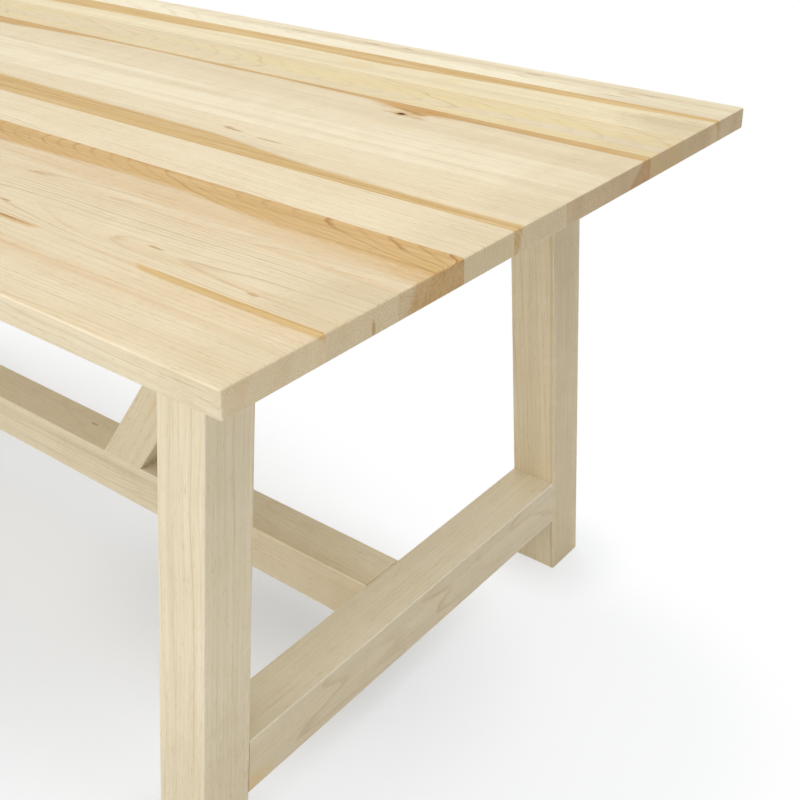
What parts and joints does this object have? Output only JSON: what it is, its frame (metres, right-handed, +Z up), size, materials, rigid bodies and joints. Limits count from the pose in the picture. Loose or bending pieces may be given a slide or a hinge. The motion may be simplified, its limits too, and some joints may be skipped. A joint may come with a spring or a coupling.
{
  "type": "farmhouse dining table",
  "caption": "Farmhouse dining table with an edge-glued plank top on splayed A-frame trestles, tied by a long stretcher and diagonal braces.",
  "frame": {"origin": "on the floor, under the middle of the top", "axes": "+X along the table's length, towards the pictured end; +Y from its front to its rear; +Z up"},
  "size_m": [2, 1, 0.762],
  "materials": {
    "maple_top": "satin clear-coated maple with heartwood bands",
    "maple_base": "satin clear-coated straight-grained maple",
    "zinc_steel": "bright zinc plating"
  },
  "bodies": {
    "root": {"top_board_01": "maple_top", "top_board_02": "maple_top", "top_board_03": "maple_top", "top_board_04": "maple_top", "top_board_05": "maple_top", "top_board_06": "maple_top", "top_board_07": "maple_top", "top_board_08": "maple_top", "top_board_09": "maple_top", "top_board_10": "maple_top", "leg_front_right": "maple_base", "leg_front_left": "maple_base", "leg_rear_right": "maple_base", "leg_rear_left": "maple_base", "top_rail_right": "maple_base", "top_rail_left": "maple_base", "cross_stretcher_right": "maple_base", "cross_stretcher_left": "maple_base", "brace_right": "maple_base", "brace_left": "maple_base", "batten_right": "maple_base", "batten_left": "maple_base", "long_stretcher": "maple_base", "rail_screws": "zinc_steel", "batten_screws": "zinc_steel"}
  },
  "joints": []
}
